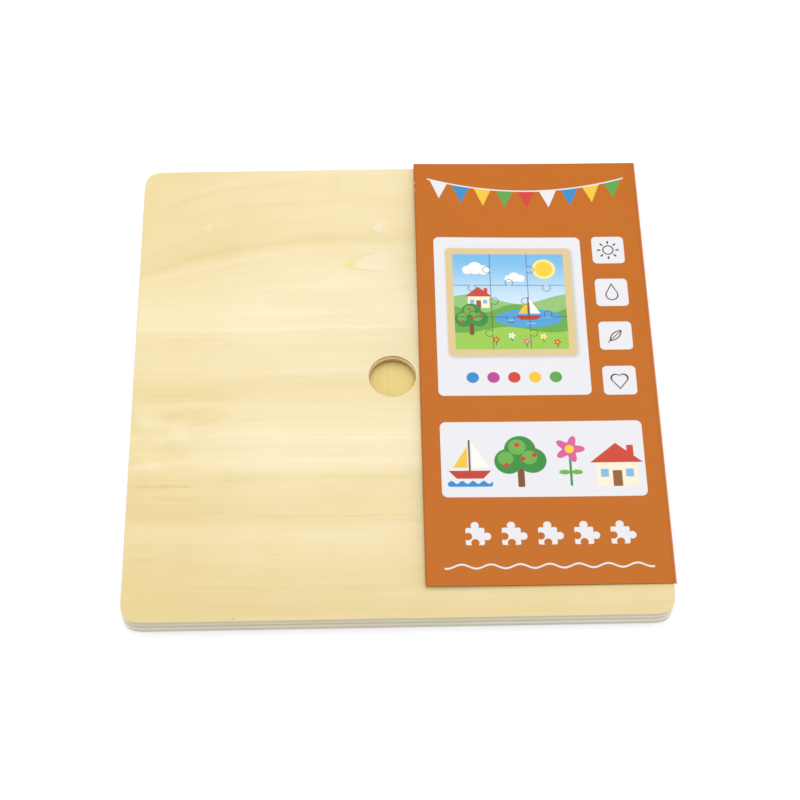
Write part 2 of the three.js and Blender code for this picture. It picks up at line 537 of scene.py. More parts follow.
# Flames behind the pips, in mm: slope, half width at the start, growth and softness
FLAME_SLOPE = 0.1
FLAME_HALF_WIDTH = 0.4
FLAME_GROWTH = 1.4
FLAME_SOFT = 2.0
# The flames' rims, in mm: half width and softness
FLAME_RIM_HALF_WIDTH = 0.15
FLAME_RIM_SOFT = 1.0
# Where flames and rims start past the pip, in mm, and the share of the length at which they start to fade
FLAME_START = (-0.5, 2.0)
FLAME_RIM_START = (-0.5, 1.0)
FLAME_FADE = 0.5
FLAME_RIM_FADE = 0.3
# How strong the flames and their rims are
FLAME_SHARE = 0.4
FLAME_RIM_SHARE = 0.7
# How far a pip's middle lies past its place, in mm, and its height as a share of its width
PIP_SHIFT = -0.3
PIP_FLATNESS = 0.9
# Roughness of the veneers, and what their finest fibres add
WOOD_ROUGHNESS = 0.6
FIBRE_ROUGHNESS = 0.15
# Relief of the veneers, in mm, and what the finest fibres count for in the back's
BACK_RELIEF = 0.05
PLAIN_RELIEF = 0.06
BACK_FINE_RELIEF = 1.5


def veneer_flow(x, y, place):
    """Grain coordinate: y, less a climb of 1 - exp(-x) where the grain bends, plus a slow waver."""
    climb = 1 - ((x - CATHEDRAL_X) * (-1 / CATHEDRAL_RUN)).math("EXPONENT")
    bent = climb * ramp(y, CATHEDRAL_LOW, CATHEDRAL_HIGH) * CATHEDRAL_RISE
    return y - bent + noise(place, (0.014, 0.035, 0), 3.1) * BACK_WAVER


def fibres(place, flow, shift):
    """Streaks along the grain at three widths, from -0.5 to 0.5."""
    along = joined(place.parts()[0], flow, shift)
    coarse = noise(along, (0.006, 0.16, 1), shift)
    medium = noise(along, (0.02, 0.7, 1), shift + 5)
    fine = noise(along, (0.12, 2.6, 1), shift + 9, 1.0)
    return coarse, medium, fine


def veneer_streaks(x, flow, place):
    """The thin streaks: bands with soft ends, broken up along their length by noise."""
    broken = ramp(noise(place, (0.09, 0.5, 0), 17.0), *STREAK_BREAKS)
    streaks = []
    for middle, left, right, half_width, strength in VENEER_STREAKS:
        ends = ramp(x - left, *STREAK_START) * ramp(x - right, *STREAK_STOP)
        streaks.append(within(abs(flow - middle) - half_width, STREAK_SOFT) * ends * strength)
    return reduce(add, streaks) * broken


def veneer_curl(x, y, place):
    """A curly tongue at the left side: an ellipse with ragged edges, and mottling below it."""
    middle_x, middle_y = CURL_MIDDLE
    half_x, half_y = CURL_HALF
    away = joined((x - middle_x) / half_x, (y - middle_y) / half_y).length()
    ragged = noise(place, (0.05, 0.12, 0), 23.0) * CURL_RAGGED
    tongue = within(away + ragged - CURL_EDGE, CURL_SOFT)
    below = ramp(abs(y - MOTTLE_Y), *MOTTLE_REACH) * ramp(x, *MOTTLE_SPAN)
    mottled = below * (noise(place, (0.07, 0.11, 0), 29.0) + MOTTLE_BIAS)
    return tongue * CURL_SHADE + mottled * MOTTLE_SHADE


def veneer_pips(colour, x, y, looks):
    """Yellow pips, each with a pale flame behind it whose width grows as the root of the distance."""
    for pip_x, pip_y, radius, length in VENEER_PIPS:
        along = x - pip_x
        away = abs(y - pip_y - along * FLAME_SLOPE)
        width = along.math("MAXIMUM", 0.0).math("SQRT") * FLAME_GROWTH + FLAME_HALF_WIDTH
        flame = within(away - width, FLAME_SOFT) * ramp(along, *FLAME_START)
        flame = flame * ramp(along, length, length * FLAME_FADE)
        rim = within(abs(away - width) - FLAME_RIM_HALF_WIDTH, FLAME_RIM_SOFT)
        rim = rim * ramp(along, *FLAME_RIM_START) * ramp(along, length, length * FLAME_RIM_FADE)
        colour = (flame * FLAME_SHARE).mix(colour, looks.flame[:])
        colour = (rim * FLAME_RIM_SHARE).mix(colour, looks.pip_rim[:])
        pip = spot(along, y, PIP_SHIFT, pip_y, radius, radius * PIP_FLATNESS)
        colour = pip.mix(colour, looks.pip[:])
    return colour


def back_veneer(looks):
    """The board's back: soft bands, one curved grain line, streaks, three pips and a few marks."""
    material, shader, place = new_material("back_veneer")
    x, y, _ = place.parts()
    flow = veneer_flow(x, y, place)
    coarse, medium, fine = fibres(place, flow, 2.0)
    across = 2 * BOARD_HALF / MM
    stops = [((band + across / 2) / across, tone) for band, tone in VENEER_BANDS]
    bands = flow.node("ShaderNodeValToRGB", {"stops": stops}, {0: flow / across + 0.5})
    patches = noise(place, (0.03, 0.055, 0), 7.7)
    tone = bands * BAND_SHARE + BAND_BASE + patches * PATCH_SHARE
    tone = tone + weighed((coarse, medium, fine), BACK_FIBRES)
    left = ramp(x, *LEFT_SPAN)
    tone = tone - left * (ramp(y, *CORNER_SPAN) * CORNER_SHADE + LEFT_SHADE)
    under_line = ramp(flow, CATHEDRAL_LINE - LINE_BELOW, CATHEDRAL_LINE)
    over_line = ramp(flow, CATHEDRAL_LINE + LINE_ABOVE, CATHEDRAL_LINE)
    tone = tone - under_line * over_line * (1 - left) * LINE_SHADE
    tone = tone - veneer_curl(x, y, place) + veneer_streaks(x, flow, place)
    colour = tone.limit(*BACK_TONES).mix(looks.dark[:], looks.pale[:])
    yellowing = ramp(x, *YELLOW_SPAN) * YELLOW_LEFT + noise(place, (0.02, 0.09, 0), 51.0) * YELLOW_PATCHES
    colour = yellowing.math("MAXIMUM", 0.0).mix(colour, looks.yellow[:])
    colour = veneer_pips(colour, x, y, looks)
    for mark_x, mark_y, half_x, half_y, strength, tint in VENEER_MARKS:
        mark = spot(x, y, mark_x, mark_y, half_x, half_y) * strength
        colour = mark.mix(colour, tint)
    roughness = fine * FIBRE_ROUGHNESS + WOOD_ROUGHNESS
    height = medium + fine * BACK_FINE_RELIEF
    return finish_material(material, shader, colour, roughness, height, BACK_RELIEF)


def plain_veneer(name, pale, dark, shift, along_y=False):
    """Veneer with straight streaks along X, or along Y, and a slow waver in them."""
    material, shader, place = new_material(name)
    x, y, _ = place.parts()
    if along_y:
        place = joined(y, x, shift)
        x, y, _ = place.parts()
    flow = y + noise(place, (0.015, 0.03, 1), shift) * PLAIN_WAVER
    coarse, medium, fine = fibres(place, flow, shift)
    tone = weighed((coarse, medium, fine), PLAIN_FIBRES) + 0.5
    colour = tone.limit(*PLAIN_TONES).mix(dark, pale)
    roughness = fine * FIBRE_ROUGHNESS + WOOD_ROUGHNESS
    return finish_material(material, shader, colour, roughness, medium + fine, PLAIN_RELIEF)


# Where the plies of each edge end, from its lower face up, as shares of the thickness
BACKING_PLIES = (0.2, 0.62)
FRAME_PLIES = (0.4, 0.95)
TILE_PLIES = (0.25, 0.75)
# The hole's wall, from its foot up: a painted shade line, a ply darkened as painted shade, a pale ply and a
# dark rim line
HOLE_PLIES = (0.14, 0.5, 0.92)
# Painted light, a paler core ply towards the board's right: where it starts and ends, in mm along X, and
# how much
PAINTED_LIGHT_START = 0
PAINTED_LIGHT_END = 90
PAINTED_LIGHT_SHARE = 0.9
# How far the plies waver, how softly they end and half the width of a glue line, as shares of the thickness
PLY_WAVER = 0.06
PLY_SOFT = 0.08
GLUE_HALF_WIDTH = 0.03
# How dark the glue lines are, and what streaks, pores and patches add to the wear of an edge
GLUE_SHADE = 0.18
WEAR_SHARES = (0.3, 0.2, 0.2)
# Roughness of an edge, and its relief in mm
EDGE_ROUGHNESS = 0.75
EDGE_RELIEF = 0.12


def plywood_edge(name, low, high, ends, colours, looks, shift):
    """Sawn edge of a sheet: plies from its lower face up, with a thin glue line where each ends."""
    material, shader, place = new_material(name)
    x, y, z = place.parts()
    waver = noise(place, (0.05, 0.05, 0.3), shift) * PLY_WAVER
    height = (z - low / MM) / ((high - low) / MM) + waver
    around = joined(x + y, x - y, z)
    streaks = noise(around, (0.05, 0.05, 3.0), shift)
    pores = noise(around, (0.9, 0.9, 1.6), shift + 4)
    patches = noise(around, (0.03, 0.03, 0.2), shift + 8)
    lowest, core, *others = colours
    # Painted light: the core ply grows paler towards the board's right
    core = (ramp(x, PAINTED_LIGHT_START, PAINTED_LIGHT_END) * PAINTED_LIGHT_SHARE).mix(core, looks.painted_light_core[:])
    colour = lowest
    worn = weighed((abs(streaks), abs(pores), patches), WEAR_SHARES)
    for end, above in zip(ends, (core, *others), strict=True):
        colour = within(end - height, PLY_SOFT).mix(colour, above)
        worn = worn + hump(height, end, GLUE_HALF_WIDTH) * GLUE_SHADE
    colour = worn.math("MAXIMUM", 0.0).mix(colour, looks.joint[:])
    return finish_material(material, shader, colour, EDGE_ROUGHNESS, streaks + pores, EDGE_RELIEF)


# Colours of the prints
SKY_HIGH = paint(122, 190, 236)
SKY_LOW = paint(214, 236, 248)
SUN = paint(255, 212, 62)
SUN_HALO = paint(255, 236, 160)
CLOUD = paint(252, 253, 254)
FAR_HILL = paint(150, 198, 122)
NEAR_HILL = paint(108, 172, 76)
MEADOW = paint(158, 205, 84)
LAKE = paint(84, 164, 220)
LAKE_LIGHT = paint(150, 206, 238)
LEAF = paint(62, 142, 66)
LEAF_LIGHT = paint(112, 178, 78)
BARK = paint(126, 82, 48)
WALL = paint(250, 240, 216)
ROOF = paint(206, 74, 52)
DOOR = paint(150, 96, 56)
PANE = paint(130, 190, 226)
HULL = paint(196, 66, 50)
SAIL = paint(252, 250, 242)
BERRY = paint(214, 60, 56)
PETAL = paint(222, 98, 158)
INK = paint(84, 60, 44)
TOY_RED = paint(216, 68, 56)
TOY_BLUE = paint(56, 142, 206)
TOY_GREEN = paint(96, 166, 78)
TOY_PINK = paint(188, 72, 148)
TOY_YELLOW = paint(246, 200, 62)
THUMB_FRAME = paint(226, 202, 150)
THUMB_SHADE = paint(196, 190, 182)


def boat(sheet, colour):
    """A sailing boat, about two units high, standing on the unit print's origin."""
    hull = sheet.polygon((-0.62, -0.42), (0.62, -0.42), (1.0, 0.0), (-1.0, 0.0))
    colour = hull.mix(colour, HULL)
    colour = sheet.slab(0.0, 0.8, 0.045, 0.85, 0.04).mix(colour, BARK)
    colour = sheet.polygon((0.12, 0.16), (0.92, 0.16), (0.12, 1.5)).mix(colour, SAIL)
    return sheet.polygon((-0.1, 0.16), (-0.1, 1.3), (-0.78, 0.16)).mix(colour, TOY_YELLOW)


def house(sheet, colour):
    """A small house with a door and two windows, about two units wide."""
    colour = sheet.slab(0.55, 1.3, 0.13, 0.35, 0.02).mix(colour, ROOF)
    colour = sheet.slab(0.0, 0.42, 0.8, 0.52, 0.04).mix(colour, WALL)
    colour = sheet.polygon((-1.02, 0.9), (1.02, 0.9), (0.0, 1.75)).mix(colour, ROOF)
    colour = sheet.slab(0.0, 0.22, 0.18, 0.34, 0.04).mix(colour, DOOR)
    for side in (-0.48, 0.48):
        colour = sheet.slab(side, 0.45, 0.15, 0.17, 0.03).mix(colour, PANE)
    return colour


def tree(sheet, colour):
    """A round fruit tree, about two units high."""
    colour = sheet.slab(0.0, 0.35, 0.12, 0.42, 0.05).mix(colour, BARK)
    crown = ((-0.42, 0.95, 0.5), (0.42, 0.98, 0.5), (0.0, 1.4, 0.56))
    for x, y, radius in crown:
        colour = sheet.disc(x, y, radius).mix(colour, LEAF)
    for x, y, radius in crown:
        colour = sheet.disc(x - 0.1, y + 0.12, radius * 0.55).mix(colour, LEAF_LIGHT)
    for x, y in ((-0.5, 0.8), (0.1, 1.05), (0.5, 1.2), (-0.1, 1.6)):
        colour = sheet.disc(x, y, 0.09).mix(colour, BERRY)
    return colour


def flower(sheet, colour, petal):
    """Five round petals and a middle: the radius swells and shrinks five times round."""
    angle = sheet.y.math("ARCTAN2", sheet.x)
    swell = (angle * 5.0).math("COSINE") * 0.25 + 0.75
    colour = within(sheet.place.length() - swell, sheet.soft).mix(colour, petal)
    return sheet.disc(0.0, 0.0, 0.3).mix(colour, SUN)


# Flowers in the picture's meadow: place and colour
BLOOMS = (
    (0.36, 0.1, BERRY),
    (0.5, 0.14, SAIL),
    (0.63, 0.08, PETAL),
    (0.78, 0.13, SUN_HALO),
    (0.9, 0.07, BERRY),
)


def landscape(sheet):
    """The puzzle's picture on a unit square: sky, hills, a boat on a lake, a house, a tree and flowers."""
    colour = ramp(sheet.y, 0.4, 1.0).mix(SKY_LOW, SKY_HIGH)
    colour = sheet.disc(0.82, 0.84, 0.105).mix(colour, SUN_HALO)
    colour = sheet.disc(0.82, 0.84, 0.08).mix(colour, SUN)
    for x, y, size in ((0.2, 0.83, 1.0), (0.55, 0.74, 0.75)):
        for side, up, radius in ((-0.07, 0.0, 0.045), (0.0, 0.02, 0.065), (0.075, 0.0, 0.05)):
            colour = sheet.disc(x + side * size, y + up * size, radius * size).mix(colour, CLOUD)
    colour = sheet.below(0.52, 0.05, 0.9, 0.6).mix(colour, FAR_HILL)
    colour = sheet.below(0.42, 0.045, 0.62, 2.4).mix(colour, NEAR_HILL)
    colour = house(sheet.moved(0.22, 0.44, 0.12), colour)
    colour = sheet.ellipse(0.66, 0.32, 0.3, 0.095).mix(colour, LAKE)
    for x, y in ((0.5, 0.3), (0.82, 0.33), (0.68, 0.265)):
        colour = sheet.slab(x, y, 0.045, 0.005, 0.004).mix(colour, LAKE_LIGHT)
    colour = boat(sheet.moved(0.66, 0.35, 0.115), colour)
    colour = sheet.below(0.2, 0.03, 0.8, 4.2).mix(colour, MEADOW)
    colour = tree(sheet.moved(0.15, 0.16, 0.16), colour)
    for x, y, petal in BLOOMS:
        colour = sheet.slab(x, y - 0.03, 0.005, 0.03, 0.004).mix(colour, LEAF)
        colour = flower(sheet.moved(x, y, 0.034), colour, petal)
    return colour


# The tiles' print: how softly its shapes end and its relief, in mm, its roughness, and how much grain shows
PICTURE_SOFT = 0.3
PICTURE_RELIEF = 0.02
PICTURE_ROUGHNESS = 0.38
PICTURE_GRAIN = 0.12


def tile_picture():
    """The printed faces of the tiles: one picture over all of them, seen from below."""
    material, shader, place = new_material("tile_picture")
    side = 2 * OPENING_HALF / MM
    flipped = place.vector("MULTIPLY_ADD", (-1 / side, 1 / side, 0), (0.5, 0.5, 0))
    colour = landscape(Print(flipped, PICTURE_SOFT / side))
    grain = noise(place, (0.05, 1.6, 0), 12.0)
    colour = (abs(grain) * PICTURE_GRAIN).mix(colour, WALL)
    return finish_material(material, shader, colour, PICTURE_ROUGHNESS, grain, PICTURE_RELIEF)


# Layout of the card's print, in mm from its free edge and near end. White panels: middle and half sizes
GARLAND_MARGIN = 6.0
GARLAND_HIGH = 204.0
GARLAND_SAG = 7.0
GARLAND_PITCH = 10.0
FLAG_HALF_WIDTH = 4.0
FLAG_HEIGHT = 9.5
CORD_HALF_WIDTH = 0.35
PANEL_CORNER = 2.5
PICTURE_PANEL = (41.0, 130.0, 33.0, 41.0)
THUMB_MIDDLE = (41.0, 137.0)
THUMB_SIDE = 56.0
THUMB_BORDER = 3.2
THUMB_CORNER = 2.0
THUMB_OPENING_CORNER = 0.4
DOT_COUNT = 5
DOT_ROW = 98.0
DOT_PITCH = 9.0
DOT_RADIUS = 2.7
ICON_X = 86.5
ICON_ROWS = (164.0, 141.3, 118.7, 96.0)
ICON_HALF = 7.2
ICON_CORNER = 2.0
STRIP_PANEL = (51.0, 58.0, 43.0, 18.0)
PIECE_COUNT = 5
PIECE_ROW = 22.0
PIECE_PITCH = 15.0
PIECE_HALF = 3.9
PIECE_CORNER = 0.7
PIECE_KNOB = 1.7
PIECE_KNOB_SHIFT = 1.0
WAVE_ROW = 8.5
WAVE_HEIGHT = 0.9
WAVE_PITCH = 12.0
WAVE_HALF_WIDTH = 0.4
PRINT_SOFT = 0.22
# Where the boat, the tree, the flower and the house stand along the lower panel, in mm from its middle
STRIP_PLACES = (-31.0, -9.5, 11.5, 31.0)
# Shadow of the small puzzle, in mm: how far it is moved, where it goes from none to all, and its strength
THUMB_SHADE_SHIFT = (0.5, -0.6)
THUMB_SHADE_SPAN = (1.6, -0.4)
THUMB_SHADE_SHARE = 0.7
# Seams of the small puzzle: rise of a knob in its radii, half width as a share of the picture, and strength
THUMB_KNOB_RISE = 0.8
THUMB_SEAM_HALF_WIDTH = 0.0035
THUMB_SEAM_SHARE = 0.75
# Wear of the card: chips along its free edge and the rubbed fold. Beside the free edge a darker band,
# painted shade where the card bends
EDGE_NICKS = (201.8, 197.4)
NICK_HALF = (0.5, 0.6)
NICK_SHARE = 0.6
PAINTED_EDGE_SHADE = 0.7
PAINTED_EDGE_SHADE_SOFT = 0.5
PAINTED_EDGE_SHADE_SHARE = 0.3
FOLD_WEAR = 0.3
FOLD_HALF_WIDTH = 0.5
SPINE_FOLD_HALF_WIDTH = 0.3
# How much the ground darkens in soft clouds
GROUND_CLOUDS = 0.12
# Roughness of the printed and the plain card, and what the paper's fibres add
PRINT_ROUGHNESS = 0.42
CARD_ROUGHNESS = 0.55
PAPER_ROUGHNESS = 0.1
# Relief of the printed and the plain card, in mm
PRINT_RELIEF = 0.008
CARD_RELIEF = 0.01


def seam_lines(sheet, count, half_width):
    """Jigsaw seams on a unit square: each is the edge of a half plane joined to a knob that swaps sides."""
    a, b, _ = sheet.place.scaled(count).parts()
    knob = KNOB_RADIUS / TILE_PITCH
    rise = knob * THUMB_KNOB_RISE
    lines = []
    for along, across, flip in ((a, b, 0.0), (b, a, 1.0)):
        column = along.math("FLOOR")
        seam = across.math("ROUND")
        odd = (column + seam + flip).math("MODULO", 2.0)
        local = (across - seam) * (odd * 2 - 1)
        knob_x = along - column - 0.5
        head = joined(knob_x, local - rise).length() - knob
        line = within(abs(local.math("MINIMUM", head)) - half_width * count, sheet.soft * count)
        lines.append(line * within(abs(seam - count / 2) - (count / 2 - 0.5), 0.1))
    return greatest(lines)


def cycle(index, *colours):
    """One of several colours in turn, by a whole number."""
    turn = index.math("FLOORED_MODULO", float(len(colours)))
    colour = colours[0]
    for number, later in enumerate(colours[1:], 1):
        colour = turn.math("GREATER_THAN", number - 0.5).mix(colour, later)
    return colour


def garland(sheet, colour, white):
    """A string of flags: a sagging line, and triangles that hang from it in turn."""
    middle = (CARD_HIGH.x - CARD_LOW.x) / MM / 2
    reach = middle - GARLAND_MARGIN
    share = (sheet.x - middle) / reach
    string = share * share * GARLAND_SAG + (GARLAND_HIGH - GARLAND_SAG)
    number = ((sheet.x - middle) / GARLAND_PITCH).math("ROUND")
    side = abs(sheet.x - middle - number * GARLAND_PITCH)
    drop = string - sheet.y
    inside = within(abs(share) - 1, 0.01)
    flag = within(side - (1 - drop / FLAG_HEIGHT) * FLAG_HALF_WIDTH, sheet.soft) * within(-drop, sheet.soft)
    flag_colour = cycle(number, TOY_RED, white, TOY_BLUE, TOY_YELLOW, TOY_GREEN)
    colour = (flag * inside).mix(colour, flag_colour)
    cord = within(abs(drop) - CORD_HALF_WIDTH, sheet.soft) * inside
    return cord.mix(colour, white)


def icon_tiles(sheet, colour, white):
    """Four white tiles with a line drawing each: a sun, a drop, a leaf and a heart."""
    for row in ICON_ROWS:
        colour = sheet.slab(ICON_X, row, ICON_HALF, ICON_HALF, ICON_CORNER).mix(colour, white)
    sun, drop, leaf, heart = (sheet.moved(ICON_X, row) for row in ICON_ROWS)
    colour = sun.ring(0, 0, 2.3, 0.28).mix(colour, INK)
    angle = sun.y.math("ARCTAN2", sun.x)
    rays = within(0.72 - (angle * 8.0).math("COSINE"), 0.2)
    colour = (rays * sun.ring(0, 0, 4.1, 0.75)).mix(colour, INK)
    for radius, half_width, tip, tone in ((2.9, 2.6, 4.9, INK), (2.35, 2.1, 3.8, white)):
        point = drop.polygon((-half_width, -0.1), (half_width, -0.1), (0, tip))
        colour = greatest([drop.disc(0, -1.3, radius), point]).mix(colour, tone)
    for radius, tone in ((5.4, INK), (4.85, white)):
        colour = (leaf.disc(-2.6, 2.6, radius) * leaf.disc(2.6, -2.6, radius)).mix(colour, tone)
    vein = within(abs(leaf.x - leaf.y) - 0.3, 0.3) * leaf.disc(-0.6, -0.6, 4.2)
    colour = vein.mix(colour, INK)
    for size, tone in ((1.0, INK), (0.82, white)):
        inner = heart.moved(0, -0.2, size)
        lobes = [inner.disc(side, 1.3, 2.2) for side in (-1.75, 1.75)]
        point = inner.polygon((0, -4.4), (3.75, 0.35), (0, 2.2), (-3.75, 0.35))
        colour = greatest([*lobes, point]).mix(colour, tone)
    return colour


def picture_panel(sheet, colour, white):
    """A white panel with a small view of the finished puzzle, and a row of coloured dots under it."""
    colour = sheet.slab(*PICTURE_PANEL, PANEL_CORNER).mix(colour, white)
    x, y = THUMB_MIDDLE
    half = THUMB_SIDE / 2
    shift_x, shift_y = THUMB_SHADE_SHIFT
    away = sheet.slab_distance(x + shift_x, y + shift_y, half, half, THUMB_CORNER)
    colour = (ramp(away, *THUMB_SHADE_SPAN) * THUMB_SHADE_SHARE).mix(colour, THUMB_SHADE)
    colour = sheet.slab(x, y, half, half, THUMB_CORNER).mix(colour, THUMB_FRAME)
    opening = THUMB_SIDE - 2 * THUMB_BORDER
    thumb = sheet.moved(x - opening / 2, y - opening / 2, opening)
    seams = seam_lines(thumb, len(TILE_ROWS), THUMB_SEAM_HALF_WIDTH) * THUMB_SEAM_SHARE
    view = seams.mix(landscape(thumb), INK)
    colour = sheet.slab(x, y, opening / 2, opening / 2, THUMB_OPENING_CORNER).mix(colour, view)
    number = ((sheet.x - x) / DOT_PITCH + 0.5).math("FLOOR")
    local = joined(sheet.x - x - number * DOT_PITCH, sheet.y - DOT_ROW)
    dot = within(local.length() - DOT_RADIUS, sheet.soft)
    dot = dot * within(abs(sheet.x - x) - DOT_PITCH * DOT_COUNT / 2, sheet.soft)
    return dot.mix(colour, cycle(number, TOY_RED, TOY_YELLOW, TOY_GREEN, TOY_BLUE, TOY_PINK))


def strip_panel(sheet, colour, white):
    """A wide white panel with a boat, a tree, a flower and a house."""
    x, y, half_x, half_y = STRIP_PANEL
    boat_x, tree_x, flower_x, house_x = (x + place for place in STRIP_PLACES)
    colour = sheet.slab(x, y, half_x, half_y, PANEL_CORNER).mix(colour, white)
    colour = boat(sheet.moved(boat_x, y - 5.5, 9.0), colour)
    waves = sheet.moved(boat_x, y - 11).below(0.0, 0.7, 4.5)
    water = waves * sheet.slab(boat_x, y - 11.5, 9.5, 1.6, 1.2)
    colour = water.mix(colour, TOY_BLUE)
    colour = tree(sheet.moved(tree_x, y - 12.5, 12.0), colour)
    colour = sheet.slab(flower_x, y - 5.5, 0.5, 7.5, 0.4).mix(colour, LEAF)
    for side in (-1, 1):
        colour = sheet.ellipse(flower_x + side * 2.6, y - 6.5, 2.4, 1.1).mix(colour, LEAF_LIGHT)
    colour = flower(sheet.moved(flower_x, y + 4.5, 6.5), colour, PETAL)
    return house(sheet.moved(house_x, y - 12, 11.0), colour)


def piece_row(sheet, colour, white):
    """A row of white jigsaw pieces: a square with a knob on two sides and a socket in the other two."""
    middle = STRIP_PANEL[0]
    number = ((sheet.x - middle) / PIECE_PITCH + 0.5).math("FLOOR")
    inside = within(abs(sheet.x - middle) - PIECE_PITCH * PIECE_COUNT / 2, 0.1)
    local = joined(sheet.x - middle - number * PIECE_PITCH, sheet.y - PIECE_ROW)
    piece = Print(local, sheet.soft)
    square = piece.slab(0, 0, PIECE_HALF, PIECE_HALF, PIECE_CORNER)
    reach = PIECE_HALF + PIECE_KNOB_SHIFT
    shape = greatest([square, *(piece.disc(x, y, PIECE_KNOB) for x, y in ((reach, 0), (0, reach)))])
    reach = PIECE_KNOB_SHIFT - PIECE_HALF
    for x, y in ((reach, 0), (0, reach)):
        shape = shape * (1 - piece.disc(x, y, PIECE_KNOB))
    return (shape * inside).mix(colour, white)


def edge_nicks(sheet):
    """Where the print has chipped off the free edge: a spot at each place along it."""
    return reduce(add, [spot(sheet.x, sheet.y, 0.0, place, *NICK_HALF) for place in EDGE_NICKS])


def card_print(looks):
    """The card's printed panel: an orange ground with white panels and small coloured drawings."""
    material, shader, place = new_material("card_print")
    shifted = place.vector("SUBTRACT", (CARD_LOW.x / MM, CARD_LOW.y / MM, 0)).vector("MULTIPLY", (1, 1, 0))
    sheet = Print(shifted, PRINT_SOFT)
    white = looks.white[:]
    cloud = noise(place, (0.03, 0.03, 0), 3.0)
    colour = (cloud * GROUND_CLOUDS).mix(looks.ground[:], INK)
    colour = garland(sheet, colour, white)
    colour = picture_panel(sheet, colour, white)
    colour = icon_tiles(sheet, colour, white)
    colour = strip_panel(sheet, colour, white)
    colour = piece_row(sheet, colour, white)
    crest = (sheet.x * (math.tau / WAVE_PITCH)).math("SINE") * WAVE_HEIGHT
    wave = within(abs(sheet.y - WAVE_ROW - crest) - WAVE_HALF_WIDTH, PRINT_SOFT)
    span = within(abs(sheet.x - STRIP_PANEL[0]) - STRIP_PANEL[2], PRINT_SOFT)
    colour = (wave * span).mix(colour, white)
    # Painted shade: the print darkens beside the free edge, where the card bends
    edge_shade_mask = within(sheet.x - PAINTED_EDGE_SHADE, PAINTED_EDGE_SHADE_SOFT)
    colour = (edge_shade_mask * PAINTED_EDGE_SHADE_SHARE).mix(colour, looks.cut[:])
    colour = (edge_nicks(sheet) * NICK_SHARE).mix(colour, looks.inside[:])
    fold = (CARD_HIGH.x - CARD_LOW.x - CARD_FOLD_RADIUS) / MM
    colour = (hump(sheet.x, fold, FOLD_HALF_WIDTH) * FOLD_WEAR).mix(colour, looks.cut[:])
    fibre = noise(place, (1.4, 1.4, 1.4), 6.0)
    roughness = fibre * PAPER_ROUGHNESS + PRINT_ROUGHNESS
    return finish_material(material, shader, colour, roughness, fibre, PRINT_RELIEF)


def card_plain(name, colour, speck, shift, worn=None):
    """Card with no print: one colour with paper fibres in it, and with the upper fold worn if asked."""
    material, shader, place = new_material(name)
    fibre = noise(place, (0.8, 0.8, 0.8), shift, 3.0)
    mixed = (abs(fibre) * speck).mix(colour, INK)
    if worn is not None:
        fold = (BACK_HIGH.z + CARD_CLEARANCE + CARD_THICKNESS - CARD_FOLD_RADIUS / 2) / MM
        wear = hump(place.parts()[2], fold, SPINE_FOLD_HALF_WIDTH) * FOLD_WEAR
        mixed = wear.mix(mixed, worn)
    roughness = fibre * PAPER_ROUGHNESS + CARD_ROUGHNESS
    return finish_material(material, shader, mixed, roughness, fibre, CARD_RELIEF)


def arc(centre_x, centre_y, radius, start, end, steps):
    """Points of a circle's arc, both ends included: the centre plus the radius times (cos, sin)."""
    angle = np.linspace(start, end, steps + 1)
    return np.stack([centre_x + radius * np.cos(angle), centre_y + radius * np.sin(angle)], axis=1)


def rounded_square(half, reach, power=2.0):
    """Square outline, counter-clockwise: one corner and one side, turned four times. The corner is a part
    of a superellipse: (cos, sin) of an angle, both to the power of 2 / power, so that 2 gives an arc."""
    inset = half - reach
    angle = np.linspace(0, math.pi / 2, CORNER_STEPS + 1)
    corner = inset + reach * np.stack([np.cos(angle), np.sin(angle)], axis=1) ** (2 / power)
    share = np.linspace(0, 1, STRAIGHT_STEPS + 1)[1:-1, None]
    side = corner[-1] * (1 - share) + np.array([-inset, half]) * share
    quarter = np.concatenate([corner, side])
    turned = [quarter @ np.linalg.matrix_power(QUARTER_TURN, turn) for turn in range(4)]
    return np.concatenate(turned)


def knob_outline(inset, bulge):
    """A knob (bulge -1) or socket (+1) in its side's frame: a head and two fillets, all tangent arcs."""
    reach = KNOB_RADIUS + NECK_FILLET
    climb = KNOB_RISE - NECK_FILLET
    spread = math.sqrt(reach**2 - climb**2)
    tangent = math.atan2(climb, spread)
    fillet = NECK_FILLET - bulge * inset
    head = KNOB_RADIUS + bulge * inset
    half_turn = math.pi
    fillet_steps = round((half_turn / 2 + tangent) / KNOB_STEP)
    head_steps = round((half_turn + 2 * tangent) / KNOB_STEP)
    points = np.concatenate(
        [
            arc(-spread, NECK_FILLET, fillet, -half_turn / 2, tangent, fillet_steps),
            arc(0, KNOB_RISE, head, half_turn + tangent, -tangent, head_steps)[1:-1],
            arc(spread, NECK_FILLET, fillet, half_turn - tangent, half_turn * 1.5, fillet_steps),
        ]
    )
    return points * np.array([1, bulge])


